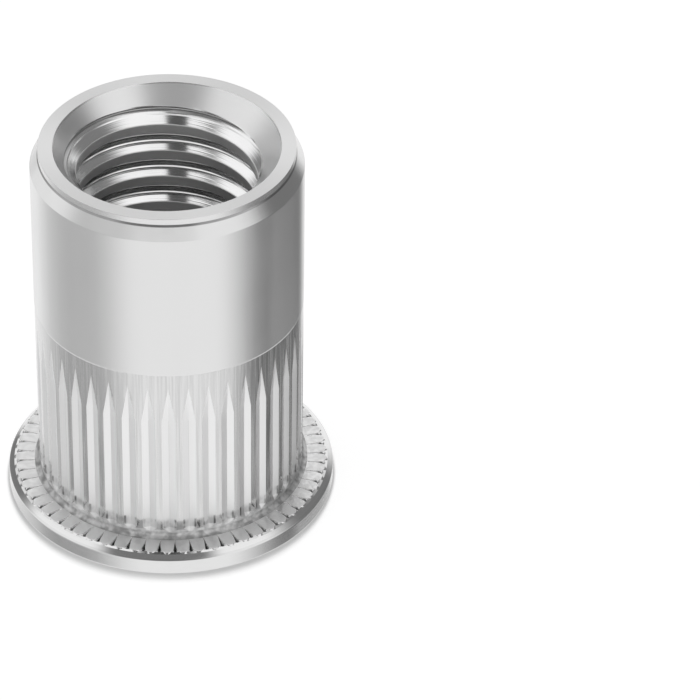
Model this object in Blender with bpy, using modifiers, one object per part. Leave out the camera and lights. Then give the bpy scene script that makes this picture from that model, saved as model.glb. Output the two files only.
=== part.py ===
"""Knurled rivet nut with a serrated flat flange and an M10 coarse thread, open at both ends.

Lengths are in metres. The nut stands on its flange: the origin is at the centre of the
flange's flat face, and +Z runs up the barrel to the threaded end. The thread sets the bore,
the wall sets the barrel round it, and the overhang sets the flange.
"""
import math

import bmesh
import bpy

MM = 0.001

# Metric coarse thread, 60 degrees, right handed
THREAD_MAJOR_DIAMETER = 10.0 * MM
THREAD_PITCH = 1.5 * MM
THREAD_DEPTH = 0.7 * MM
THREAD_FLANK_ANGLE = math.radians(30.0)
THREAD_TURN = math.radians(34.8)

# Bore: countersink into the thread, and the plain zone under it that collapses when set
COUNTERSINK_CLEARANCE = 0.4 * MM
COUNTERSINK_HALF_ANGLE = math.radians(40.0)
SCREW_CLEARANCE = 0.4 * MM
COUNTERBORE_DEPTH = 9.2 * MM
SHOULDER_HALF_ANGLE = math.radians(60.0)
MOUTH_CHAMFER = 0.25 * MM
BORE_FACETS = 48

# Barrel and its rim at the threaded end
COLLAPSE_WALL = 1.1 * MM
OVERALL_HEIGHT = 19.5 * MM
RIM_CHAMFER_WIDTH = 0.4 * MM
RIM_CHAMFER_HEIGHT = 0.7 * MM
RIM_BAND_HEIGHT = 0.3 * MM

# Flange, the plain margin of its sloping edge, and the root fillet that joins it to the barrel
FLANGE_OVERHANG = 1.5 * MM
FLANGE_WALL_HEIGHT = 0.76 * MM
FLANGE_EDGE_ROUND = 0.08 * MM
EDGE_ROUND_STEPS = 2
FLANGE_MARGIN = 0.12 * MM
ROOT_FILLET = 0.25 * MM
FILLET_STEPS = 3

# Serrations that bite into the sheet: radial teeth whose outer ends lie on the flange's sloping
# edge. Each V gap is given at stations, as its share of the way out and its share of the flare.
TOOTH_PITCH = 0.81 * MM
TOOTH_HEIGHT = 0.3 * MM
TOOTH_TIP_WIDTH = 0.05 * MM
TOOTH_END_SLOPE = 0.23 * MM
GAP_INNER_WIDTH = 0.12 * MM
GAP_INNER_DEPTH = 0.06 * MM
GAP_FLOOR_LIFT = 0.08 * MM
GAP_RUNOUT = 0.2 * MM
GAP_STATIONS = ((0.0, 0.0), (0.37, 0.03), (0.6, 0.12), (0.72, 0.28),
                (0.8, 0.55), (0.88, 0.9), (1.0, 1.0))
TOOTH_TURN = math.radians(2.36)

# Axial knurl, rolled with a wheel that lifts out gradually at the upper end
KNURL_PITCH = 0.97 * MM
KNURL_TOP = 10.75 * MM
KNURL_RELIEF = 0.03 * MM
LAND_WIDTH = 0.31 * MM
GROOVE_DEPTH = 0.18 * MM
GROOVE_TIP_BELOW_TOP = 0.8 * MM
GROOVE_RUNOUT = 2.0 * MM
RUNOUT_STATIONS = (1.0, 0.62, 0.3, 0.0, -0.08)
GROOVE_FOOT = 1.33 * MM
GROOVE_FOOT_RAMP = 0.25 * MM
KNURL_TURN = math.radians(6.14)

# How far the root, the lips and the far side of a cutter stand clear of what they cut
ROOT_CLEAR = 0.03 * MM
LIP_CLEAR = 0.05 * MM
GAP_LIP_CLEAR = 0.02 * MM
OVERRUN = 1.0 * MM
MERGE = 0.000001
SHARP_ANGLE = math.radians(15.0)

THREAD_MINOR_DIAMETER = THREAD_MAJOR_DIAMETER - 2 * THREAD_DEPTH
COUNTERSINK_DIAMETER = THREAD_MAJOR_DIAMETER + 2 * COUNTERSINK_CLEARANCE
COUNTERBORE_DIAMETER = THREAD_MAJOR_DIAMETER + 2 * SCREW_CLEARANCE
BARREL_DIAMETER = COUNTERBORE_DIAMETER + 2 * COLLAPSE_WALL
FLANGE_DIAMETER = BARREL_DIAMETER + 2 * FLANGE_OVERHANG
THREAD_RADIUS = THREAD_MAJOR_DIAMETER / 2
TAPPING_RADIUS = THREAD_MINOR_DIAMETER / 2
THREAD_ROOT_FLAT = THREAD_PITCH / 8
COUNTERSINK_RADIUS = COUNTERSINK_DIAMETER / 2
COUNTERBORE_RADIUS = COUNTERBORE_DIAMETER / 2
BARREL_RADIUS = BARREL_DIAMETER / 2
KNURLED_RADIUS = BARREL_RADIUS - KNURL_RELIEF
FLANGE_RADIUS = FLANGE_DIAMETER / 2
TOOTH_INNER_RADIUS = KNURLED_RADIUS + ROOT_FILLET
TOOTH_OUTER_RADIUS = FLANGE_RADIUS - FLANGE_MARGIN
TOOTH_TOP = FLANGE_WALL_HEIGHT + TOOTH_HEIGHT
SLOPE_TOP_RADIUS = TOOTH_OUTER_RADIUS - TOOTH_END_SLOPE
SLOPE_RUN = TOOTH_END_SLOPE + FLANGE_MARGIN
KNURL_COUNT = round(math.tau * BARREL_RADIUS / KNURL_PITCH)
TOOTH_COUNT = round(math.tau * TOOTH_OUTER_RADIUS / TOOTH_PITCH)
GROOVE_WIDTH = math.tau * KNURLED_RADIUS / KNURL_COUNT - LAND_WIDTH
GAP_OUTER_WIDTH = math.tau * TOOTH_OUTER_RADIUS / TOOTH_COUNT - TOOTH_TIP_WIDTH


def clear_scene():
    for old in list(bpy.data.objects):
        bpy.data.objects.remove(old, do_unlink=True)


def new_collection(name):
    collection = bpy.data.collections.new(name)
    bpy.context.scene.collection.children.link(collection)
    return collection


def bright_steel():
    material = bpy.data.materials.new("bright_steel")
    material.use_nodes = True
    shader = material.node_tree.nodes["Principled BSDF"]
    shader.inputs["Base Color"].default_value = (0.78, 0.78, 0.79, 1.0)
    shader.inputs["Metallic"].default_value = 1.0
    shader.inputs["Roughness"].default_value = 0.28
    return material


def add_object(name, mesh, collection):
    item = bpy.data.objects.new(name, mesh)
    collection.objects.link(item)
    return item


def arc(centre, radius, start, end, steps):
    """Points of a round in the section plane, from one angle to another, ends included."""
    points = []
    for step in range(steps + 1):
        angle = math.radians(start + (end - start) * step / steps)
        points.append((centre[0] + radius * math.cos(angle), centre[1] + radius * math.sin(angle)))
    return points


def section_mesh(name, outline, closed):
    """A section outline of (radius, height) points as edges in the XZ plane."""
    edges = [(i, i + 1) for i in range(len(outline) - 1)]
    if closed:
        edges.append((len(outline) - 1, 0))
    mesh = bpy.data.meshes.new(name)
    mesh.from_pydata([(radius, 0.0, height) for radius, height in outline], edges, [])
    return mesh


def turned(name, outline, facets, collection):
    """A solid of revolution. Its outline runs down the outer side, from the axis to the axis."""
    item = add_object(name, section_mesh(name, outline, closed=False), collection)
    screw = item.modifiers.new("turn", "SCREW")
    screw.axis = "Z"
    screw.angle = math.tau
    screw.steps = screw.render_steps = facets
    screw.use_merge_vertices = True
    screw.merge_threshold = MERGE
    return item


def blank_outline():
    """The nut before it is bored, threaded and rolled: rim, barrel, root fillet and flange."""
    fillet_centre = (TOOTH_INNER_RADIUS, TOOTH_TOP + ROOT_FILLET)
    edge_centre = FLANGE_RADIUS - FLANGE_EDGE_ROUND
    slope_faces = math.atan2(SLOPE_RUN, TOOTH_HEIGHT)
    upper_edge = (edge_centre, FLANGE_WALL_HEIGHT - FLANGE_EDGE_ROUND * math.tan(slope_faces / 2))
    lower_edge = (edge_centre, FLANGE_EDGE_ROUND)
    return [
        (0.0, OVERALL_HEIGHT),
        (BARREL_RADIUS - RIM_CHAMFER_WIDTH, OVERALL_HEIGHT),
        (BARREL_RADIUS - RIM_CHAMFER_WIDTH, OVERALL_HEIGHT - RIM_BAND_HEIGHT),
        (BARREL_RADIUS, OVERALL_HEIGHT - RIM_BAND_HEIGHT - RIM_CHAMFER_HEIGHT),
        (BARREL_RADIUS, KNURL_TOP + KNURL_RELIEF),
        (KNURLED_RADIUS, KNURL_TOP - KNURL_RELIEF),
        *arc(fillet_centre, ROOT_FILLET, 180, 270, FILLET_STEPS),
        (SLOPE_TOP_RADIUS, TOOTH_TOP),
        *arc(upper_edge, FLANGE_EDGE_ROUND, math.degrees(slope_faces), 0, EDGE_ROUND_STEPS),
        *arc(lower_edge, FLANGE_EDGE_ROUND, 0, -90, EDGE_ROUND_STEPS),
        (0.0, 0.0),
    ]


def bore_outline():
    """The tool for the hole: countersink, tapping hole, drill shoulder and counterbore."""
    sink_spread = math.tan(COUNTERSINK_HALF_ANGLE)
    sink_depth = (COUNTERSINK_RADIUS - TAPPING_RADIUS) / sink_spread
    shoulder_rise = (COUNTERBORE_RADIUS - TAPPING_RADIUS) / math.tan(SHOULDER_HALF_ANGLE)
    return [
        (0.0, OVERALL_HEIGHT + OVERRUN),
        (COUNTERSINK_RADIUS + OVERRUN * sink_spread, OVERALL_HEIGHT + OVERRUN),
        (TAPPING_RADIUS, OVERALL_HEIGHT - sink_depth),
        (TAPPING_RADIUS, COUNTERBORE_DEPTH + shoulder_rise),
        (COUNTERBORE_RADIUS, COUNTERBORE_DEPTH),
        (COUNTERBORE_RADIUS, MOUTH_CHAMFER),
        (COUNTERBORE_RADIUS + MOUTH_CHAMFER + OVERRUN, -OVERRUN),
        (0.0, -OVERRUN),
    ]


def thread_outline():
    """One turn's V section, a little inside the tapping hole and out to the flat root."""
    mouth_radius = TAPPING_RADIUS - LIP_CLEAR
    root_half = THREAD_ROOT_FLAT / 2
    mouth_half = root_half + (THREAD_RADIUS - mouth_radius) * math.tan(THREAD_FLANK_ANGLE)
    return [
        (mouth_radius, mouth_half),
        (THREAD_RADIUS, root_half),
        (THREAD_RADIUS, -root_half),
        (mouth_radius, -mouth_half),
    ]


def thread_tool(collection):
    """A helical V bar, capped at both ends, which stand in the air past each end of the thread."""
    start = COUNTERBORE_DEPTH - THREAD_PITCH
    turns = math.ceil((OVERALL_HEIGHT + THREAD_PITCH - start) / THREAD_PITCH)
    outline = [(radius, height + start) for radius, height in thread_outline()]
    item = add_object("thread_tool", section_mesh("thread_tool", outline, closed=True), collection)
    screw = item.modifiers.new("helix", "SCREW")
    screw.axis = "Z"
    screw.angle = math.tau
    screw.screw_offset = THREAD_PITCH
    screw.iterations = turns
    screw.steps = screw.render_steps = BORE_FACETS
    screw.use_merge_vertices = False
    evaluated = item.evaluated_get(bpy.context.evaluated_depsgraph_get())
    item.data = bpy.data.meshes.new_from_object(evaluated)
    item.modifiers.clear()
    finish_tool(item, caps=len(outline))
    return item


def finish_tool(item, caps=0):
    """Close the open ends, weld what meets and point every face outwards."""
    shape = bmesh.new()
    shape.from_mesh(item.data)
    if caps:
        bmesh.ops.holes_fill(shape, edges=shape.edges, sides=caps)
    bmesh.ops.remove_doubles(shape, verts=shape.verts, dist=MERGE)
    bmesh.ops.recalc_face_normals(shape, faces=shape.faces)
    shape.to_mesh(item.data)
    shape.free()


def add_loft(shape, sections, turn):
    """A closed bar through sections that have the same number of corners, turned about the axis."""
    cosine, sine = math.cos(turn), math.sin(turn)
    rings = []
    for section in sections:
        turned_corners = [(x * cosine - y * sine, x * sine + y * cosine, z) for x, y, z in section]
        rings.append([shape.verts.new(corner) for corner in turned_corners])
    shape.faces.new(rings[0])
    shape.faces.new(rings[-1])
    for lower, upper in zip(rings, rings[1:]):
        for i in range(len(lower)):
            j = (i + 1) % len(lower)
            shape.faces.new((lower[i], lower[j], upper[j], upper[i]))


def ring_of_cutters(name, sections, count, collection, twisted=False):
    """The same lofted bar at equal angles round the axis, as one cutter."""
    shape = bmesh.new()
    for number in range(count):
        add_loft(shape, sections, math.tau * number / count)
    if twisted:
        bmesh.ops.triangulate(shape, faces=shape.faces)
    mesh = bpy.data.meshes.new(name)
    shape.to_mesh(mesh)
    shape.free()
    item = add_object(name, mesh, collection)
    finish_tool(item)
    return item


def bar_section(along, root, lip, high, half):
    """Corners of a cutter: a V from its root out to its lips, then straight on into the air."""
    return [along(root, 0.0), along(lip, half), along(high, half), along(high, -half), along(lip, -half)]


def groove_sections():
    """One knurl groove from its foot up. The tip follows the round of the wheel."""
    spread = GROOVE_WIDTH / 2 / GROOVE_DEPTH
    tip = KNURL_TOP - GROOVE_TIP_BELOW_TOP
    foot_rise = GROOVE_FOOT_RAMP * ROOT_CLEAR / GROOVE_DEPTH
    stations = [(GROOVE_FOOT - foot_rise, -ROOT_CLEAR), (GROOVE_FOOT + GROOVE_FOOT_RAMP, GROOVE_DEPTH)]
    for share in RUNOUT_STATIONS:
        stations.append((tip - share * GROOVE_RUNOUT, GROOVE_DEPTH * (1 - (1 - share) ** 2)))
    return [
        bar_section(lambda radius, side: (radius, side, height), KNURLED_RADIUS - depth,
                    KNURLED_RADIUS + LIP_CLEAR, KNURLED_RADIUS + OVERRUN, (depth + LIP_CLEAR) * spread)
        for height, depth in stations
    ]


def gap_sections():
    """One gap between two serration teeth, from the root fillet out through the sloping edge."""
    inner_root = TOOTH_TOP - GAP_INNER_DEPTH
    outer_root = FLANGE_WALL_HEIGHT + GAP_FLOOR_LIFT
    runout_root = TOOTH_TOP + GAP_RUNOUT
    runout_radius = TOOTH_INNER_RADIUS - GAP_RUNOUT
    stations = [(runout_radius, runout_root, runout_root + GAP_LIP_CLEAR, GAP_INNER_WIDTH / 2)]
    for share, flare in GAP_STATIONS:
        radius = TOOTH_INNER_RADIUS + (TOOTH_OUTER_RADIUS - TOOTH_INNER_RADIUS) * share
        surface = TOOTH_TOP - TOOTH_HEIGHT * max(0.0, radius - SLOPE_TOP_RADIUS) / SLOPE_RUN
        root = inner_root + (outer_root - inner_root) * share
        width = GAP_INNER_WIDTH + (GAP_OUTER_WIDTH - GAP_INNER_WIDTH) * flare
        stations.append((radius, root, surface + GAP_LIP_CLEAR, width / 2))
    stations.append((FLANGE_RADIUS + FLANGE_MARGIN, outer_root, outer_root + LIP_CLEAR, GAP_OUTER_WIDTH / 2))
    return [
        bar_section(lambda height, side: (radius, side, height), root, lip, TOOTH_TOP + OVERRUN, half)
        for radius, root, lip, half in stations
    ]


def hide_tool(item):
    item.hide_render = True
    item.display_type = "WIRE"


def cut(item, tool, turn):
    """Take the tool's shape out of the item, with the tool turned about the axis."""
    tool.rotation_euler.z = turn
    hide_tool(tool)
    boolean = item.modifiers.new("cut_" + tool.name, "BOOLEAN")
    boolean.operation = "DIFFERENCE"
    boolean.solver = "EXACT"
    boolean.object = tool


def weld(item, name):
    """Close the hairline edges that a cut leaves where its facets meet the item's."""
    step = item.modifiers.new(name, "WELD")
    step.merge_threshold = MERGE


def smooth_by_angle(item):
    """Shade the rounds smooth, and keep the edges that turn by more than SHARP_ANGLE."""
    tree = bpy.data.node_groups.new("smooth_by_angle", "GeometryNodeTree")
    for direction in ("INPUT", "OUTPUT"):
        tree.interface.new_socket("Geometry", in_out=direction, socket_type="NodeSocketGeometry")
    source = tree.nodes.new("NodeGroupInput")
    angle = tree.nodes.new("GeometryNodeInputMeshEdgeAngle")
    sharper = tree.nodes.new("FunctionNodeCompare")
    sharper.operation = "GREATER_THAN"
    sharper.inputs["B"].default_value = SHARP_ANGLE
    faces = tree.nodes.new("GeometryNodeSetShadeSmooth")
    edges = tree.nodes.new("GeometryNodeSetShadeSmooth")
    edges.domain = "EDGE"
    edges.inputs["Shade Smooth"].default_value = False
    result = tree.nodes.new("NodeGroupOutput")
    tree.links.new(angle.outputs["Unsigned Angle"], sharper.inputs["A"])
    tree.links.new(sharper.outputs["Result"], edges.inputs["Selection"])
    tree.links.new(source.outputs["Geometry"], faces.inputs["Geometry"])
    tree.links.new(faces.outputs["Geometry"], edges.inputs["Geometry"])
    tree.links.new(edges.outputs["Geometry"], result.inputs["Geometry"])
    step = item.modifiers.new("smooth_by_angle", "NODES")
    step.node_group = tree


def make_rivet_nut():
    clear_scene()
    parts = new_collection("rivet_nut")
    tools = new_collection("cutters")
    nut = turned("rivet_nut", blank_outline(), 2 * KNURL_COUNT, parts)
    nut.rotation_euler.z = KNURL_TURN
    nut.data.materials.append(bright_steel())
    cut(nut, ring_of_cutters("serration_tool", gap_sections(), TOOTH_COUNT, tools, twisted=True), TOOTH_TURN)
    cut(nut, ring_of_cutters("knurl_tool", groove_sections(), KNURL_COUNT, tools), KNURL_TURN)
    weld(nut, "weld_knurl")
    cut(nut, turned("bore_tool", bore_outline(), BORE_FACETS, tools), THREAD_TURN)
    cut(nut, thread_tool(tools), THREAD_TURN)
    weld(nut, "weld_thread")
    smooth_by_angle(nut)


make_rivet_nut()
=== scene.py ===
import math

import bmesh
import bpy
from mathutils import Matrix, Vector


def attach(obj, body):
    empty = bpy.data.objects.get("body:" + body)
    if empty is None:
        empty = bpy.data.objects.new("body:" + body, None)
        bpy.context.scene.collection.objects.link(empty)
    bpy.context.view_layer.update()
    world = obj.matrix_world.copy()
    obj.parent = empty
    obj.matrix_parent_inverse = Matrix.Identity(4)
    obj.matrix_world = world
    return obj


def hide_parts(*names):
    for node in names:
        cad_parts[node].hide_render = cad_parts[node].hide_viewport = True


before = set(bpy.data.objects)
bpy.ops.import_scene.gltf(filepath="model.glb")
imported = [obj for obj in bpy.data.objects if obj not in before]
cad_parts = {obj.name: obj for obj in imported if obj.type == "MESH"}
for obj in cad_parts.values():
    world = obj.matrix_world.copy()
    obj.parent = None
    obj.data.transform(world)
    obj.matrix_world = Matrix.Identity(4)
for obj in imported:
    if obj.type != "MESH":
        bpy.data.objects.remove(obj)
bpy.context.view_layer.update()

# Camera. The nut is looked down on from its front, two fifths of a right angle above the
# bench, through a long lens. The point aimed at is on the nut's axis, about half-way up.
MM = 0.001
LENS_MM = 232.32
SENSOR_MM = 36.0
LOOK_DOWN = 0.64157
LENS_ROLL = -0.01613
DISTANCE = 218.04 * MM
AIM_HEIGHT = 10.0 * MM
SEEN_AT = (169.24, 308.22)
FRAME_PIXELS = 700
CLIP_START, CLIP_END = 0.01, 20.0
focal_pixels = LENS_MM / SENSOR_MM * FRAME_PIXELS
ahead = Vector((0.0, math.cos(LOOK_DOWN), -math.sin(LOOK_DOWN)))
level = Vector((1.0, 0.0, 0.0))
drop = ahead.cross(level)
right = math.cos(LENS_ROLL) * level + math.sin(LENS_ROLL) * drop
down = math.cos(LENS_ROLL) * drop - math.sin(LENS_ROLL) * level
to_nut = (ahead + (SEEN_AT[0] - FRAME_PIXELS / 2) / focal_pixels * right
          + (SEEN_AT[1] - FRAME_PIXELS / 2) / focal_pixels * down)
camera_data = bpy.data.cameras.new("camera")
camera_data.lens = LENS_MM
camera_data.sensor_width = SENSOR_MM
camera_data.clip_start = CLIP_START
camera_data.clip_end = CLIP_END
camera = bpy.data.objects.new("camera", camera_data)
bpy.context.scene.collection.objects.link(camera)
turn = Matrix((right, -down, -ahead)).transposed().to_4x4()
turn.translation = Vector((0.0, 0.0, AIM_HEIGHT)) - to_nut * DISTANCE
camera.matrix_world = turn
bpy.context.scene.camera = camera

# Barrel. Drawn steel, turned and polished outside. Its threaded end has a flat face turned
# across it, a low band under that and a chamfer. It is one piece with all that follows.
BARREL_RADIUS = 6.5 * MM
NUT_HEIGHT = 19.5 * MM
CHAMFER_WIDTH = 0.4 * MM
CHAMFER_HEIGHT = 0.7 * MM
BAND_HEIGHT = 0.3 * MM
NOTCH_DEPTH = 0.06 * MM
NOTCH_HEIGHT = 0.108 * MM
NOTCH_FLARE = 0.03 * MM
FACE_INNER_RADIUS = 5.4 * MM
LIP_WIDTH = 0.042 * MM
LIP_HEIGHT = 0.05 * MM
CORNER_ROUND = 0.02 * MM
KNURL_COUNT = 42
KNURL_TURN = math.radians(6.14)
KNURL_TOP = 10.75 * MM
KNURL_RELIEF = 0.02 * MM
RELIEF_RUN = 0.04 * MM
KNURLED_RADIUS = BARREL_RADIUS - KNURL_RELIEF
LAND_COLUMNS = 3
FLANK_COLUMNS = 3
CLOSED_GROOVE = 0.01
SAME_POINT = 0.0002 * MM
# The dark grey of the painted shade that the steels lay into grooves, corners and the deep bore.
PAINTED_SHADE_GREY = (0.1, 0.1, 0.1, 1.0)
QUARTER_TURN = 0.25
TOOL_LINES_ACROSS, TOOL_LINES_UP = 16.0, 14.0
# How far the painted edge highlight reaches in from an edge.
EDGE_HIGHLIGHT_REACH = 0.03 * MM
band_radius = BARREL_RADIUS - CHAMFER_WIDTH
band_foot = NUT_HEIGHT - BAND_HEIGHT


def quad(count, i, j, wrap=0):
    """The face between two rings of so many points. Its front looks out of the steel when the
    rings run down the outside or up the bore."""
    k = (j + 1) % count
    return i * count + j, (i + 1) * count + j, (i + 1 + wrap) * count + k, (i + wrap) * count + k


def closed_faces(rings):
    """Faces between rings that are each closed on themselves."""
    count = len(rings[0])
    return [quad(count, i, j) for i in range(len(rings) - 1) for j in range(count)]


def skin(name, rings, faces, sharp_degrees):
    """A smooth surface through rings of points, with an edge only where it turns by more."""
    mesh = bpy.data.meshes.new(name)
    mesh.from_pydata([point for ring in rings for point in ring], [], faces)
    shape = bmesh.new()
    shape.from_mesh(mesh)
    bmesh.ops.remove_doubles(shape, verts=shape.verts, dist=SAME_POINT)
    shape.to_mesh(mesh)
    shape.free()
    mesh.shade_smooth()
    mesh.set_sharp_from_angle(angle=math.radians(sharp_degrees))
    piece = bpy.data.objects.new(name, mesh)
    bpy.context.scene.collection.objects.link(piece)
    return piece


def ring_at(radius, height, angles):
    return [(radius * math.cos(a), radius * math.sin(a), height) for a in angles]


def rounded(profile, size, steps=4):
    """A turned profile of (radius, height) corners, with each inner corner eased by a small round.
    A point just past each end of a round keeps the straight stretches straight in their shading."""
    eased = [profile[0]]
    for before, corner, after in zip(profile, profile[1:], profile[2:]):
        corner = Vector(corner)
        back, on = Vector(before) - corner, Vector(after) - corner
        reach = min(size, back.length / 4, on.length / 4)
        start, end = corner + back.normalized() * reach, corner + on.normalized() * reach
        eased.append(tuple(start + back.normalized() * reach / 2))
        for step in range(steps + 1):
            t = step / steps
            eased.append(tuple((1 - t) ** 2 * start + 2 * t * (1 - t) * corner + t * t * end))
        eased.append(tuple(end + on.normalized() * reach / 2))
    return eased + [profile[-1]]


def knurl_angles(half_groove):
    """Angles round the barrel: more points where the flanks of the knurl's grooves are."""
    pitch = math.tau / KNURL_COUNT
    marks = [half_groove * i / FLANK_COLUMNS for i in range(FLANK_COLUMNS)]
    marks += [half_groove + (pitch / 2 - half_groove) * i / LAND_COLUMNS for i in range(LAND_COLUMNS)]
    marks = [-mark for mark in reversed(marks[1:])] + marks + [pitch / 2]
    return [KNURL_TURN + pitch * n + mark for n in range(KNURL_COUNT) for mark in marks]


def feed(tree, sockets, values):
    """Give each socket in order a fixed value, or a link from what another node puts out."""
    for socket, value in zip(sockets, values):
        if isinstance(value, bpy.types.NodeSocket):
            tree.links.new(value, socket)
        else:
            socket.default_value = value


def calc(tree, operation, *values):
    node = tree.nodes.new("ShaderNodeMath")
    node.operation = operation
    feed(tree, node.inputs, values)
    return node.outputs[0]


def product(tree, *values):
    result = values[0]
    for value in values[1:]:
        result = calc(tree, "MULTIPLY", result, value)
    return result


def highest(tree, *values):
    result = values[0]
    for value in values[1:]:
        result = calc(tree, "MAXIMUM", result, value)
    return result


def shift(tree, base, amount, share):
    """The base, moved by that share of an amount."""
    return calc(tree, "ADD", base, calc(tree, "MULTIPLY", amount, share))


def fade(tree, value, low, high):
    """From 0 at low to 1 at high, softly. Low may be above high."""
    node = tree.nodes.new("ShaderNodeMapRange")
    node.interpolation_type = "SMOOTHSTEP"
    feed(tree, node.inputs, (value, min(low, high), max(low, high), 0.0, 1.0))
    rise = node.outputs[0]
    return calc(tree, "SUBTRACT", 1.0, rise) if low > high else rise


def mixed(tree, share, first, second):
    """The first colour where share is 0, and the second where it is 1."""
    node = tree.nodes.new("ShaderNodeMix")
    node.data_type = "RGBA"
    feed(tree, (node.inputs["Factor"], node.inputs["A"], node.inputs["B"]), (share, first, second))
    return node.outputs["Result"]


def noise(tree, where, detail):
    node = tree.nodes.new("ShaderNodeTexNoise")
    node.inputs["Scale"].default_value = 1.0
    node.inputs["Detail"].default_value = detail
    tree.links.new(where, node.inputs["Vector"])
    return node.outputs["Fac"]


def grain(tree, across_x, across_y, across_z, detail=2.0):
    """Soft noise that changes so many times in a millimetre along each axis of the nut."""
    where = tree.nodes.new("ShaderNodeTexCoord")
    scale = tree.nodes.new("ShaderNodeVectorMath")
    scale.operation = "MULTIPLY"
    scale.inputs[1].default_value = (across_x / MM, across_y / MM, across_z / MM)
    tree.links.new(where.outputs["Object"], scale.inputs[0])
    return noise(tree, scale.outputs[0], detail)


def millimetres(tree):
    """How far a point is from the nut's axis and above its foot, and its angle round the axis."""
    where = tree.nodes.new("ShaderNodeTexCoord")
    parts = tree.nodes.new("ShaderNodeSeparateXYZ")
    tree.links.new(where.outputs["Object"], parts.inputs[0])
    x, y, z = (calc(tree, "MULTIPLY", part, 1 / MM) for part in parts.outputs)
    squares = calc(tree, "ADD", calc(tree, "MULTIPLY", x, x), calc(tree, "MULTIPLY", y, y))
    return calc(tree, "SQRT", squares), z, calc(tree, "ARCTAN2", y, x)


def painted_edge_highlight(tree, reach):
    """1 along edges and 0 on open surfaces: the mask of a painted highlight, which makes the steel paler
    and smoother along its edges.
    """
    softened = tree.nodes.new("ShaderNodeBevel")
    softened.inputs["Radius"].default_value = reach
    plain = tree.nodes.new("ShaderNodeNewGeometry")
    both = tree.nodes.new("ShaderNodeVectorMath")
    both.operation = "DOT_PRODUCT"
    tree.links.new(softened.outputs[0], both.inputs[0])
    tree.links.new(plain.outputs["Normal"], both.inputs[1])
    return fade(tree, both.outputs["Value"], 0.999, 0.94)


def steel(name, pale, dull, smooth, rough, polish, relief, relief_depth, anisotropy=0.0, painted_shade=None):
    """Bare steel: pale and smooth where polish is 1, dull and rough where it is 0, with a fine relief.
    Painted shade is a dark colour laid over it where shade falls, in grooves, corners, gaps and deep in the
    bore."""
    material = bpy.data.materials.new(name)
    material.use_nodes = True
    tree = material.node_tree
    shader = tree.nodes["Principled BSDF"]
    shader.inputs["Metallic"].default_value = 1.0
    polish_here = polish(tree)
    tint = mixed(tree, polish_here, (dull, dull, dull, 1.0), (pale, pale, pale, 1.0))
    # Painted shade: the colour is darkened towards a dark grey where shade falls.
    if painted_shade:
        tint = mixed(tree, painted_shade(tree), tint, PAINTED_SHADE_GREY)
    tree.links.new(tint, shader.inputs["Base Color"])
    blur = tree.nodes.new("ShaderNodeMapRange")
    feed(tree, blur.inputs, (polish_here, 0.0, 1.0, rough, smooth))
    tree.links.new(blur.outputs[0], shader.inputs["Roughness"])
    bump = tree.nodes.new("ShaderNodeBump")
    bump.inputs["Strength"].default_value = 1.0
    bump.inputs["Distance"].default_value = relief_depth
    tree.links.new(relief(tree), bump.inputs["Height"])
    tree.links.new(bump.outputs[0], shader.inputs["Normal"])
    if anisotropy:
        tangent = tree.nodes.new("ShaderNodeTangent")
        tangent.direction_type = "RADIAL"
        tangent.axis = "Z"
        tree.links.new(tangent.outputs[0], shader.inputs["Tangent"])
        shader.inputs["Anisotropic"].default_value = anisotropy
        shader.inputs["Anisotropic Rotation"].default_value = QUARTER_TURN
    return material


def barrel_polish(tree):
    """Clouded where it was handled, with faint streaks along it. The end face is left duller."""
    _, up, _ = millimetres(tree)
    end = NUT_HEIGHT / MM
    cloudy = calc(tree, "MULTIPLY", grain(tree, 0.5, 0.5, 0.35), 0.5)
    patchy = shift(tree, cloudy, 0.5, grain(tree, 1.8, 1.8, 0.1))
    side = product(tree, shift(tree, 0.25, 0.75, patchy), fade(tree, up, end - 0.004, end - 0.01))
    # The painted edge highlight mask makes the edges smoother too.
    return highest(tree, side, product(tree, painted_edge_highlight(tree, EDGE_HIGHLIGHT_REACH), 0.8))


def turning_marks(tree):
    """Fine lines that the lathe tool leaves: rings up the barrel and circles on its end face."""
    from_axis, up, _ = millimetres(tree)
    line = tree.nodes.new("ShaderNodeCombineXYZ")
    across = calc(tree, "MULTIPLY", from_axis, TOOL_LINES_ACROSS)
    feed(tree, line.inputs, (across, 0.0, calc(tree, "MULTIPLY", up, TOOL_LINES_UP)))
    return noise(tree, line.outputs[0], 1.0)


def rim_painted_shade(tree):
    """Painted shade in the notch under the band."""
    from_axis, up, _ = millimetres(tree)
    edge, foot = band_radius / MM, band_foot / MM
    patchy = shift(tree, 0.35, 0.5, grain(tree, 0.6, 0.6, 0.6))
    return product(tree, patchy, fade(tree, from_axis, edge + 0.05, edge + 0.02),
                   fade(tree, up, foot + 0.02, foot - 0.01), fade(tree, up, foot - 0.16, foot - 0.1))


plain_angles = knurl_angles(CLOSED_GROOVE)
profile = rounded([
    (FACE_INNER_RADIUS - LIP_WIDTH, NUT_HEIGHT - LIP_HEIGHT),
    (FACE_INNER_RADIUS, NUT_HEIGHT),
    (band_radius, NUT_HEIGHT),
    (band_radius, band_foot),
    (band_radius - NOTCH_DEPTH, band_foot),
    (band_radius + NOTCH_FLARE, band_foot - NOTCH_HEIGHT),
    (BARREL_RADIUS, band_foot - CHAMFER_HEIGHT),
    (BARREL_RADIUS, KNURL_TOP + RELIEF_RUN),
], CORNER_ROUND)
rings = [ring_at(radius, height, plain_angles) for radius, height in profile]
barrel = skin("barrel", rings, closed_faces(rings), sharp_degrees=40.0)
barrel.data.materials.append(steel(
    "polished_steel", pale=0.78, dull=0.78, smooth=0.14, rough=0.34, polish=barrel_polish,
    relief=turning_marks, relief_depth=0.0012 * MM, anisotropy=0.85, painted_shade=rim_painted_shade))
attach(barrel, "root")
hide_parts("rivet_nut")

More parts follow.
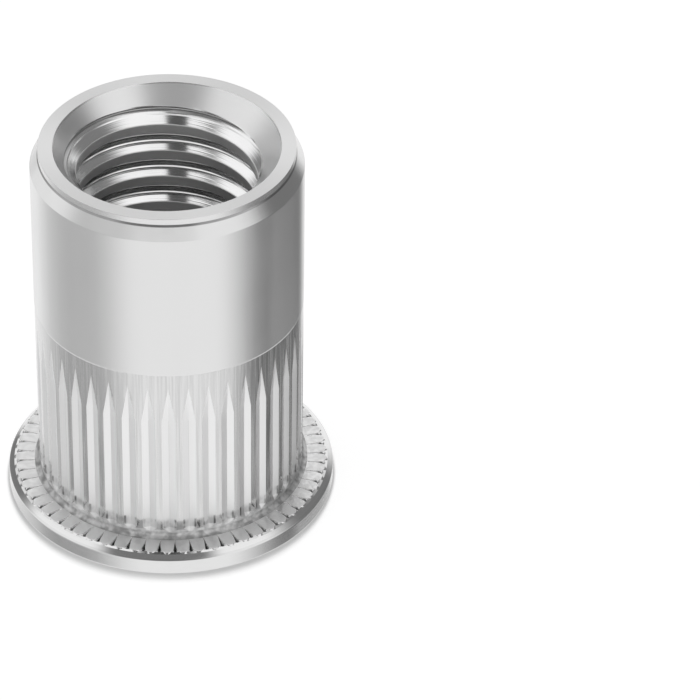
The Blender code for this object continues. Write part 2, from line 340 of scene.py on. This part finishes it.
# Knurl. Straight V grooves rolled into the lower barrel, which grip the hole in the sheet.
# The rolling wheel lifts out gradually, so each groove ends in a long spear point.
GROOVE_DEPTH = 0.12 * MM
GROOVE_SWEEP = 1.7
LAND_WIDTH = 0.31 * MM
HAIRLINE = 0.01 * MM
GROOVE_TIP = 10.0 * MM
GROOVE_RUNOUT = 2.0 * MM
RUNOUT_ROWS = 16
GROOVE_FOOT = 1.33 * MM
GROOVE_FOOT_RAMP = 0.25 * MM
FOOT_ROWS = 6
ROOT_FILLET = 0.25 * MM
FILLET_STEPS = 10
TOOTH_TOP = 1.06 * MM
groove_width = math.tau * KNURLED_RADIUS / KNURL_COUNT - LAND_WIDTH
knurl_half_pitch = math.pi / KNURL_COUNT
foot_z = TOOTH_TOP + ROOT_FILLET


def groove_share(height):
    """How wide a groove is, as a share of its full width. It closes to a point at its upper end."""
    up = (GROOVE_TIP - height) / GROOVE_RUNOUT
    foot = (height - GROOVE_FOOT) / GROOVE_FOOT_RAMP
    return max(0.0, min(1.0, up, foot))


def past_groove(tree):
    """How far a point lies outside the nearest groove of the knurl, as a share of its pitch."""
    _, up, around = millimetres(tree)
    pitches = calc(tree, "MULTIPLY", calc(tree, "SUBTRACT", around, KNURL_TURN), KNURL_COUNT / math.tau)
    aside = calc(tree, "PINGPONG", pitches, 0.5)
    tip = calc(tree, "DIVIDE", calc(tree, "SUBTRACT", GROOVE_TIP / MM, up), GROOVE_RUNOUT / MM)
    foot = calc(tree, "DIVIDE", calc(tree, "SUBTRACT", up, GROOVE_FOOT / MM), GROOVE_FOOT_RAMP / MM)
    share = calc(tree, "MINIMUM", calc(tree, "MINIMUM", tip, foot), 1.0)
    half = calc(tree, "MULTIPLY", share, groove_width / 2 * KNURL_COUNT / (math.tau * KNURLED_RADIUS))
    return calc(tree, "SUBTRACT", aside, half)


def knurl_polish(tree):
    """The lands keep the barrel's polish under long streaks. The wheel leaves the grooves pale
    and satin, and the root is satin too."""
    _, up, _ = millimetres(tree)
    streaks = fade(tree, grain(tree, 9.0, 9.0, 0.25, 3.0), 0.3, 0.7)
    land = fade(tree, past_groove(tree), -0.01, 0.01)
    return product(tree, land, shift(tree, 0.55, 0.45, streaks), fade(tree, up, 1.35, 1.6))


def rolling_streaks(tree):
    """Long streaks on the lands, and a coarse grain in the root, where the wheel didn't reach."""
    _, up, _ = millimetres(tree)
    coarse = product(tree, grain(tree, 3.0, 3.0, 3.0), fade(tree, up, 1.5, 1.35))
    return shift(tree, grain(tree, 7.0, 7.0, 0.3), 8.0, coarse)


def groove_painted_shade(tree):
    """Painted shade: a dark line along the bottom of each groove and dark corners at its foot.
    The foot of the knurl and the root of the flange are made darker too."""
    from_axis, up, _ = millimetres(tree)
    floor = (KNURLED_RADIUS - GROOVE_DEPTH) / MM
    line = product(tree, fade(tree, from_axis, floor + 0.01, floor - 0.008), fade(tree, up, 1.5, 1.8), 0.3)
    blotches = fade(tree, grain(tree, 2.5, 2.5, 1.5), 0.35, 0.65)
    off_corner = calc(tree, "ABSOLUTE", calc(tree, "ADD", past_groove(tree), 0.06))
    corners = product(tree, fade(tree, off_corner, 0.08, 0.03), fade(tree, up, 2.15, 2.0),
                      fade(tree, up, 1.5, 1.6), shift(tree, 0.15, 0.75, blotches))
    film = product(tree, fade(tree, up, 2.2, 1.85), shift(tree, 0.08, 0.3, blotches))
    patches = fade(tree, grain(tree, 2.5, 2.5, 2.5), 0.3, 0.7)
    root = product(tree, shift(tree, 0.2, 0.5, patches), fade(tree, up, 1.4, 1.25))
    return highest(tree, line, corners, film, root)


heights = [KNURL_TOP + RELIEF_RUN, KNURL_TOP - RELIEF_RUN, GROOVE_TIP + 0.4 * MM, GROOVE_TIP + 0.1 * MM]
heights += [GROOVE_TIP - GROOVE_RUNOUT * i / RUNOUT_ROWS for i in range(RUNOUT_ROWS + 1)]
heights += [height * MM for height in range(7, 1, -1)]
heights += [GROOVE_FOOT + GROOVE_FOOT_RAMP * (1 - i / FOOT_ROWS) for i in range(FOOT_ROWS + 1)]
rings = []
for height in heights + [foot_z]:
    share = groove_share(height)
    depth = GROOVE_DEPTH * share ** GROOVE_SWEEP
    half = max(HAIRLINE, groove_width / 2 * share) / KNURLED_RADIUS
    above = min(1.0, max(0.0, (height - KNURL_TOP) / (2 * RELIEF_RUN) + 0.5))
    base_radius = KNURLED_RADIUS + KNURL_RELIEF * above
    ring = []
    for angle in knurl_angles(half):
        offset = abs((angle - KNURL_TURN + knurl_half_pitch) % (2 * knurl_half_pitch) - knurl_half_pitch)
        radius = base_radius - depth * max(0.0, 1 - offset / half)
        ring.append((radius * math.cos(angle), radius * math.sin(angle), height))
    rings.append(ring)
for step in range(1, FILLET_STEPS + 1):
    lean = math.pi / 2 * step / FILLET_STEPS
    rings.append(ring_at(KNURLED_RADIUS + ROOT_FILLET * (1 - math.cos(lean)),
                         foot_z - ROOT_FILLET * math.sin(lean), plain_angles))
knurl = skin("knurl", rings, closed_faces(rings), sharp_degrees=11.0)
knurl.data.materials.append(steel(
    "rolled_steel", pale=0.64, dull=0.90, smooth=0.08, rough=0.50, polish=knurl_polish,
    relief=rolling_streaks, relief_depth=0.004 * MM, painted_shade=groove_painted_shade))
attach(knurl, "root")
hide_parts("rivet_nut")

# Serrations. A ring of small teeth pressed into the flange under the barrel. They bite into
# the sheet, so that the nut doesn't turn in its hole. Their outer ends lie on its sloping edge.
TOOTH_COUNT = 61
TOOTH_TURN = math.radians(2.36)
FLANGE_RADIUS = 8.0 * MM
FLANGE_TOP = 0.76 * MM
SLOPE_RUN = 0.35 * MM
SLOPE_START = FLANGE_RADIUS - SLOPE_RUN
TOOTH_START = KNURLED_RADIUS + ROOT_FILLET
TOOTH_END = 7.9 * MM
SLIT_START, SLIT_WIDEST, SLIT_END = 6.9 * MM, 7.52 * MM, 7.66 * MM
SLIT_WIDTH = 0.2 * MM
SLIT_DEPTH = 0.2 * MM
SLIT_NARROWEST, SLIT_SHALLOWEST = 0.3, 0.25
MOUTH_START, MOUTH_END = 7.52 * MM, 7.74 * MM
MOUTH_SLOPE = 0.45
MOUTH_WIDTH, MOUTH_FLARE, MOUTH_WALL = 0.96, 0.55, 0.1
FINE_START = 7.5 * MM
COARSE_ROWS, FINE_ROWS = 12, 26


def flange_height(radius):
    """The flat of the teeth, then the slope of the flange's edge."""
    return TOOTH_TOP - (TOOTH_TOP - FLANGE_TOP) * max(0.0, radius - SLOPE_START) / SLOPE_RUN


def slit(radius):
    """Half width and depth of the narrow gap between two teeth."""
    if radius < SLIT_WIDEST:
        share = max(0.04, (radius - SLIT_START) / (SLIT_WIDEST - SLIT_START))
        half = SLIT_WIDTH / 2 * (SLIT_NARROWEST + (1 - SLIT_NARROWEST) * share ** 2)
        depth = SLIT_DEPTH * min(1.0, SLIT_SHALLOWEST + share) if radius >= SLIT_START else 0.0
        return half, depth
    share = min(1.0, (radius - SLIT_WIDEST) / (SLIT_END - SLIT_WIDEST))
    return SLIT_WIDTH / 2 * (1 + share), SLIT_DEPTH * (1 - share)


def mouth(radius):
    """Half width and depth of the shallow facet in which each gap opens on the slope."""
    share = (radius - MOUTH_START) / (MOUTH_END - MOUTH_START)
    if not 0.0 < share < 1.0:
        return 0.0, 0.0
    half = math.pi * radius / TOOTH_COUNT * MOUTH_WIDTH * share ** MOUTH_FLARE
    floor = flange_height(MOUTH_END) + (MOUTH_END - radius) * MOUTH_SLOPE
    return half, max(0.0, flange_height(radius) - floor)


def tooth_top(tree):
    """1 on the flat tops of the teeth, and 0 in the gaps and on the slope."""
    _, up, _ = millimetres(tree)
    return fade(tree, up, TOOTH_TOP / MM - 0.015, TOOTH_TOP / MM - 0.004)


def tooth_polish(tree):
    """The tops are matt from the press tool, and the gaps and the slope are bright."""
    bright = calc(tree, "SUBTRACT", 1.0, tooth_top(tree))
    speckle = calc(tree, "MULTIPLY", fade(tree, grain(tree, 5.0, 5.0, 5.0, 4.0), 0.35, 0.7), 0.55)
    # The edges take the painted highlight mask as well.
    return highest(tree, bright, speckle, painted_edge_highlight(tree, 0.02 * MM))


def pressed_grain(tree):
    return product(tree, grain(tree, 8.0, 8.0, 8.0), tooth_top(tree))


def slit_painted_shade(tree):
    # Painted shade down in the gaps between the teeth, short of the slope.
    from_axis, up, _ = millimetres(tree)
    return product(tree, fade(tree, from_axis, 7.6, 7.5), fade(tree, up, 1.03, 0.96), 0.5)


rows = [TOOTH_START, SLIT_START]
rows += [SLIT_START + (FINE_START - SLIT_START) * i / COARSE_ROWS for i in range(1, COARSE_ROWS + 1)]
rows += [FINE_START + (MOUTH_END - FINE_START) * i / FINE_ROWS for i in range(1, FINE_ROWS + 1)]
rows += [MOUTH_END + 0.01 * MM, TOOTH_END]
rings = []
for radius in rows:
    slit_half, slit_depth = slit(radius)
    mouth_half, mouth_depth = mouth(radius)
    half_pitch = math.pi * radius / TOOTH_COUNT
    wide = max(mouth_half, slit_half * 1.25)
    marks = [0.0, slit_half / 2, slit_half]
    marks += [slit_half + (wide - slit_half) * share for share in (0.45, 0.9)]
    marks += [wide + (half_pitch - wide) * share for share in (0.0, 0.4, 0.8)]
    marks = [-mark for mark in reversed(marks[1:])] + marks + [half_pitch]
    ring = []
    for n in range(TOOTH_COUNT):
        for mark in marks:
            dip = slit_depth * max(0.0, 1 - abs(mark) / slit_half)
            if mouth_half:
                inside = (mouth_half - abs(mark)) / (MOUTH_WALL * mouth_half)
                dip = max(dip, mouth_depth * min(1.0, max(0.0, inside)))
            angle = TOOTH_TURN + math.tau / TOOTH_COUNT * n + mark / radius
            ring.append((radius * math.cos(angle), radius * math.sin(angle), flange_height(radius) - dip))
    rings.append(ring)
serrations = skin("serrations", rings, closed_faces(rings), sharp_degrees=14.0)
serrations.data.materials.append(steel(
    "pressed_steel", pale=0.82, dull=0.84, smooth=0.10, rough=0.50, polish=tooth_polish,
    relief=pressed_grain, relief_depth=0.012 * MM, painted_shade=slit_painted_shade))
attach(serrations, "root")
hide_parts("rivet_nut")

# Flange. The flat head that stops the nut at the sheet, with a sloping edge round the teeth.
# Its underside is turned flat, down to the mouth of the bore.
FLANGE_EDGE = 0.06 * MM
MOUTH_CHAMFER = 0.25 * MM
COUNTERBORE_RADIUS = 5.4 * MM


def flange_polish(tree):
    """Clouded and scratched, with a painted highlight along its edges."""
    cloudy = calc(tree, "MULTIPLY", grain(tree, 0.8, 0.8, 0.8), 0.5)
    return highest(tree, shift(tree, cloudy, 0.5, grain(tree, 2.0, 2.0, 12.0)), painted_edge_highlight(tree, EDGE_HIGHLIGHT_REACH))


profile = rounded([
    (TOOTH_END, flange_height(TOOTH_END)),
    (FLANGE_RADIUS, FLANGE_TOP),
    (FLANGE_RADIUS, 0.0),
    (COUNTERBORE_RADIUS + MOUTH_CHAMFER, 0.0),
    (COUNTERBORE_RADIUS, MOUTH_CHAMFER),
], FLANGE_EDGE)
rings = [ring_at(radius, height, plain_angles) for radius, height in profile]
flange = skin("flange", rings, closed_faces(rings), sharp_degrees=40.0)
flange.data.materials.append(steel(
    "turned_steel", pale=0.82, dull=0.74, smooth=0.10, rough=0.20, polish=flange_polish,
    relief=turning_marks, relief_depth=0.0012 * MM, anisotropy=0.3))
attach(flange, "root")
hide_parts("rivet_nut")

# Bore. Drilled through, opened out below for the zone that folds up when the nut is set, and
# tapped above with a coarse right-hand thread that runs out into a countersink.
THREAD_RADIUS = 5.0 * MM
TAPPING_RADIUS = 4.3 * MM
THREAD_PITCH = 1.5 * MM
THREAD_TURN = math.radians(56.9)
COUNTERBORE_DEPTH = 9.2 * MM
SINK_SLOPE = math.tan(math.radians(40.0))
SHOULDER_SLOPE = math.tan(math.radians(60.0))
THREAD_COLUMNS = 288
ROOT_ROWS = 12
ROOT_RADIUS = 0.1 * MM
ROOT_CLEARANCE = 0.04 * MM
LOWER_FLANK, UPPER_FLANK = math.radians(52.0), math.radians(60.0)
BURNISHED_RADIUS = 4.736 * MM
BURNISHED_WIDTH = 0.07 * MM
BURNISHED_LEAN = math.radians(34.5)
PROFILE_STEP = 0.11 * MM
SINK_END = 19.1 * MM
SHOULDER_END = 9.42 * MM
SPARE_TURNS = 3
root_centre = THREAD_RADIUS - ROOT_CLEARANCE - ROOT_RADIUS
root_arc = []
for row in range(ROOT_ROWS + 1):
    lean = -LOWER_FLANK + (LOWER_FLANK + UPPER_FLANK) * row / ROOT_ROWS
    root_arc.append((root_centre + ROOT_RADIUS * math.cos(lean), ROOT_RADIUS * math.sin(lean)))
arc_foot, arc_top = root_arc[0], root_arc[-1]
over = (BURNISHED_RADIUS, arc_foot[1] - (arc_foot[0] - BURNISHED_RADIUS) / math.tan(LOWER_FLANK))
under = (over[0] - BURNISHED_WIDTH * math.sin(BURNISHED_LEAN),
         over[1] - BURNISHED_WIDTH * math.cos(BURNISHED_LEAN))
corners = [
    (TAPPING_RADIUS, -THREAD_PITCH / 2),
    (TAPPING_RADIUS, under[1] - (under[0] - TAPPING_RADIUS) / math.tan(LOWER_FLANK)),
    under,
    over,
    *root_arc,
    (TAPPING_RADIUS, arc_top[1] + (arc_top[0] - TAPPING_RADIUS) / math.tan(UPPER_FLANK)),
    (TAPPING_RADIUS, THREAD_PITCH / 2),
]
turn_profile = []
for (radius, height), (next_radius, next_height) in zip(corners, corners[1:]):
    across, up = next_radius - radius, next_height - height
    pieces = max(1, round(math.hypot(across, up) / PROFILE_STEP))
    turn_profile += [(radius + across * i / pieces, height + up * i / pieces) for i in range(pieces)]
bore_angles = [THREAD_TURN + math.tau * j / THREAD_COLUMNS for j in range(THREAD_COLUMNS)]


def bore_radius(thread_radius, height):
    """The widest of the thread, the countersink above it and the shoulder below it."""
    sink = FACE_INNER_RADIUS - (NUT_HEIGHT - height) * SINK_SLOPE
    shoulder = COUNTERBORE_RADIUS - (height - COUNTERBORE_DEPTH) * SHOULDER_SLOPE
    return max(thread_radius, sink, shoulder)


def bore_polish(tree):
    """The tapping drill leaves the crests dull. The tap rubs the flanks bright, and the
    countersink is half as bright as they are."""
    from_axis, up, _ = millimetres(tree)
    flank = product(tree, fade(tree, from_axis, 4.31, 4.36), fade(tree, up, 18.8, 18.2))
    below_face = calc(tree, "SUBTRACT", NUT_HEIGHT / MM, up)
    sink = calc(tree, "SUBTRACT", FACE_INNER_RADIUS / MM, calc(tree, "MULTIPLY", below_face, SINK_SLOPE))
    in_sink = fade(tree, calc(tree, "SUBTRACT", sink, from_axis), -0.03, -0.01)
    cloudy = shift(tree, 0.75, 0.25, grain(tree, 0.8, 0.8, 2.5))
    return product(tree, highest(tree, flank, product(tree, in_sink, 0.45)), cloudy)


def tapping_marks(tree):
    """Fine lines that follow the thread, and none in the countersink. Each line repeats a
    whole number of times in one turn."""
    _, up, around = millimetres(tree)
    along = calc(tree, "SUBTRACT", calc(tree, "MULTIPLY", up, math.tau * MM / THREAD_PITCH), around)
    lines = [calc(tree, "SINE", calc(tree, "MULTIPLY", along, times)) for times in (11.0, 17.0, 29.0)]
    together = calc(tree, "ADD", calc(tree, "ADD", lines[0], lines[1]), lines[2])
    return product(tree, together, fade(tree, up, 18.9, 18.4))


def bore_painted_shade(tree):
    """Painted shade: the crests darker down the bore, the roots of the thread darker, and the
    bore dark below the upper turns."""
    from_axis, up, _ = millimetres(tree)
    crests = product(tree, fade(tree, up, 18.5, 12.0), fade(tree, from_axis, 4.4, 4.31), 0.12)
    roots = product(tree, fade(tree, from_axis, 4.84, 4.9), fade(tree, up, 18.85, 18.6), 0.6)
    deep = product(tree, fade(tree, up, 13.0, 12.2), 0.75)
    return highest(tree, crests, roots, deep)


rings = [ring_at(COUNTERBORE_RADIUS, height, bore_angles) for height in (MOUTH_CHAMFER, COUNTERBORE_DEPTH)]
plain_rings = len(rings)
turns = math.ceil((NUT_HEIGHT - COUNTERBORE_DEPTH) / THREAD_PITCH) + SPARE_TURNS
helix_start = COUNTERBORE_DEPTH - 2 * THREAD_PITCH
for number in range(turns):
    for thread_radius, rise in turn_profile:
        ring = []
        for j, angle in enumerate(bore_angles):
            height = helix_start + (number + j / THREAD_COLUMNS) * THREAD_PITCH + rise
            height = min(max(height, SHOULDER_END), SINK_END)
            run_out = height in (SHOULDER_END, SINK_END)
            radius = bore_radius(TAPPING_RADIUS if run_out else thread_radius, height)
            ring.append((radius * math.cos(angle), radius * math.sin(angle), height))
        rings.append(ring)
rings.append(ring_at(FACE_INNER_RADIUS - LIP_WIDTH, NUT_HEIGHT - LIP_HEIGHT, bore_angles))
faces = []
for i in range(len(rings) - 1):
    helical = plain_rings <= i < len(rings) - 2
    for j in range(THREAD_COLUMNS):
        # The last column of a turn meets the first column of the next turn.
        wrap = len(turn_profile) if helical and j == THREAD_COLUMNS - 1 else 0
        if not helical or i + 1 + wrap < len(rings) - 1:
            faces.append(quad(THREAD_COLUMNS, i, j, wrap))
bore = skin("bore", rings, faces, sharp_degrees=12.0)
bore.data.materials.append(steel(
    "tapped_steel", pale=0.93, dull=0.78, smooth=0.07, rough=0.50, polish=bore_polish,
    relief=tapping_marks, relief_depth=0.0003 * MM, painted_shade=bore_painted_shade))
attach(bore, "root")
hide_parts("rivet_nut")

# Bench. A sheet of white card under the nut. Mirrors of metal don't show the sheet itself: they
# show the room's lower half, which is as white. A disc of it closes the foot of the bore, and
# glows: painted light that stands for the light the bright bore carries down.
BENCH_RADIUS = 3.0
DISC_RADIUS = 7.7 * MM
DISC_DROP = 0.01 * MM
CARD_SIDES = 64
BENCH_GLOW = 0.755
BENCH_COLOUR = 0.44
# Reach and depth of the painted shadow in the card's glow.
CONTACT_REACH = 0.2 * MM
SHADOW_REACH = 0.65 * MM
SHADOWED_GLOW = 0.33
SHADOW_SAMPLES = 8
UNDER_BORE_GLOW = 0.4


def flat_card(name, radius, height):
    shape = bmesh.new()
    bmesh.ops.create_circle(shape, cap_ends=True, segments=CARD_SIDES, radius=radius)
    bmesh.ops.translate(shape, verts=shape.verts, vec=(0.0, 0.0, height))
    mesh = bpy.data.meshes.new(name)
    shape.to_mesh(mesh)
    shape.free()
    sheet = bpy.data.objects.new(name, mesh)
    bpy.context.scene.collection.objects.link(sheet)
    return sheet


def white_card(name):
    card = bpy.data.materials.new(name)
    card.use_nodes = True
    paper = card.node_tree.nodes["Principled BSDF"]
    paper.inputs["Base Color"].default_value = (BENCH_COLOUR, BENCH_COLOUR, BENCH_COLOUR, 1.0)
    paper.inputs["Roughness"].default_value = 1.0
    paper.inputs["Specular IOR Level"].default_value = 0.0
    return card


def glow_with_painted_shadow(tree):
    """The card's glow, with a painted shadow in it: less of it close to the nut, and farther out in front
    of it.
    """
    place = tree.nodes.new("ShaderNodeTexCoord")
    outward = tree.nodes.new("ShaderNodeVectorMath")
    outward.operation = "NORMALIZE"
    sides = tree.nodes.new("ShaderNodeSeparateXYZ")
    openness = tree.nodes.new("ShaderNodeAmbientOcclusion")
    openness.samples = SHADOW_SAMPLES
    tree.links.new(place.outputs["Object"], outward.inputs[0])
    tree.links.new(outward.outputs[0], sides.inputs[0])
    in_front = fade(tree, calc(tree, "MULTIPLY", sides.outputs[1], -1.0), 0.1, 1.1)
    tree.links.new(shift(tree, CONTACT_REACH, SHADOW_REACH, in_front), openness.inputs["Distance"])
    return shift(tree, SHADOWED_GLOW, 1.0 - SHADOWED_GLOW, fade(tree, openness.outputs["AO"], 0.6, 1.0))


bench = flat_card("bench", BENCH_RADIUS, 0.0)
bench.visible_glossy = False
bench.visible_shadow = False
card = white_card("white_card")
tree = card.node_tree
seen = tree.nodes.new("ShaderNodeLightPath")
glow = tree.nodes.new("ShaderNodeEmission")
strength = product(tree, seen.outputs["Is Camera Ray"], glow_with_painted_shadow(tree), BENCH_GLOW)
both = tree.nodes.new("ShaderNodeAddShader")
tree.links.new(strength, glow.inputs["Strength"])
tree.links.new(tree.nodes["Principled BSDF"].outputs[0], both.inputs[0])
tree.links.new(glow.outputs[0], both.inputs[1])
tree.links.new(both.outputs[0], tree.nodes["Material Output"].inputs["Surface"])
bench.data.materials.append(card)
disc = flat_card("card_under_bore", DISC_RADIUS, -DISC_DROP)
# The disc glows: painted light in place of the light that the bore carries down.
painted_glow_card = white_card("painted_glow_card")
painted_glow = painted_glow_card.node_tree.nodes["Principled BSDF"]
painted_glow.inputs["Emission Color"].default_value = (1.0, 1.0, 1.0, 1.0)
painted_glow.inputs["Emission Strength"].default_value = UNDER_BORE_GLOW
disc.data.materials.append(painted_glow_card)

# Light. A white room with soft grey cards: at the right, low at the left, behind at the left and
# two high on the walls behind. The dark hood round the lens runs on as a gap between the two
# lamps overhead. Angles are in degrees, round from the front to the right and up from level.
ROOM_WHITE = 0.97
CARD_GREY = 0.20
world = bpy.data.worlds.new("room")
world.use_nodes = True
tree = world.node_tree
toward = tree.nodes.new("ShaderNodeTexCoord")
split = tree.nodes.new("ShaderNodeSeparateXYZ")
tree.links.new(toward.outputs["Generated"], split.inputs[0])
to_right, to_back, to_top = split.outputs
to_front = calc(tree, "MULTIPLY", to_back, -1.0)
around = calc(tree, "MULTIPLY", calc(tree, "ARCTAN2", to_right, to_front), math.degrees(1.0))
rise = calc(tree, "MULTIPLY", calc(tree, "ARCSINE", to_top), math.degrees(1.0))
low_down = product(tree, fade(tree, rise, -38.0, -39.2), fade(tree, rise, -42.5, -41.0))
open_floor = calc(tree, "SUBTRACT", 1.0, calc(tree, "MULTIPLY", fade(tree, rise, -41.0, -44.0), 0.8))


def card_at(middle, half, edge):
    """A card round a middle angle, half so many degrees wide to the middle of its soft edge."""
    aside = calc(tree, "ABSOLUTE", calc(tree, "SUBTRACT", around, middle))
    past = calc(tree, "DIVIDE", calc(tree, "SUBTRACT", aside, half), edge)
    return fade(tree, past, 1.0, -1.0)


above = fade(tree, rise, 8.0, 28.0)
right_start = shift(tree, 66.0, 24.0, above)
right_end = shift(tree, 141.0, 16.0, fade(tree, rise, -26.0, -34.0))
past_end = calc(tree, "SUBTRACT", around, shift(tree, right_end, -52.0, low_down))
past_start = calc(tree, "SUBTRACT", around, right_start)
past_start = calc(tree, "DIVIDE", past_start, shift(tree, 26.0, -12.0, above))
right_card = product(tree, fade(tree, past_start, -1.0, 1.0), fade(tree, rise, 70.0, 50.0), open_floor,
                     fade(tree, past_end, 10.0, -10.0))
below = fade(tree, rise, 10.0, -34.0)
left_middle = shift(tree, shift(tree, -53.0, -31.0, below), 12.0, low_down)
left_card = card_at(left_middle, shift(tree, 26.0, 10.0, below), shift(tree, 14.0, 8.0, below))
left_card = product(tree, left_card, fade(tree, rise, 35.0, 20.0), open_floor,
                    shift(tree, 0.56, 0.44, low_down))
back_middle = shift(tree, -152.0, 28.0, fade(tree, rise, -6.0, 23.0))
back_card = product(tree, card_at(back_middle, 14.0, 9.0), fade(tree, rise, -14.0, -5.0),
                    fade(tree, rise, 38.0, 26.0))
overhead = fade(tree, to_top, 0.865, 0.915)
hood_middle = shift(tree, -0.085, 0.055, overhead)
off_hood = calc(tree, "ABSOLUTE", calc(tree, "SUBTRACT", to_right, hood_middle))
off_hood = calc(tree, "DIVIDE", off_hood, shift(tree, 1.0, -0.7, overhead))
hood = product(tree, fade(tree, off_hood, 0.52, 0.34), fade(tree, rise, 32.0, 42.0),
               fade(tree, to_back, 0.3, 0.1), shift(tree, 1.0, 0.15, overhead))
off_front = calc(tree, "ABSOLUTE", around)
low_behind = product(tree, low_down, fade(tree, off_front, 90.0, 115.0), 0.42)
sideways = calc(tree, "SUBTRACT", off_front, 146.0)
upward = calc(tree, "SUBTRACT", rise, 56.0)
spot_square = shift(tree, calc(tree, "MULTIPLY", sideways, sideways), upward, upward)
wall_spots = fade(tree, calc(tree, "SQRT", spot_square), 26.0, 12.0)
dark = highest(tree, right_card, left_card, back_card, hood, low_behind, wall_spots)
shade = calc(tree, "SUBTRACT", ROOM_WHITE, calc(tree, "MULTIPLY", dark, ROOM_WHITE - CARD_GREY))
seen = tree.nodes.new("ShaderNodeLightPath")
brightness = calc(tree, "MAXIMUM", shade, seen.outputs["Is Camera Ray"])
tree.links.new(brightness, tree.nodes["Background"].inputs["Strength"])
tree.nodes["Background"].inputs["Color"].default_value = (1.0, 1.0, 1.0, 1.0)
bpy.context.scene.world = world
bpy.context.scene.view_settings.view_transform = "Standard"
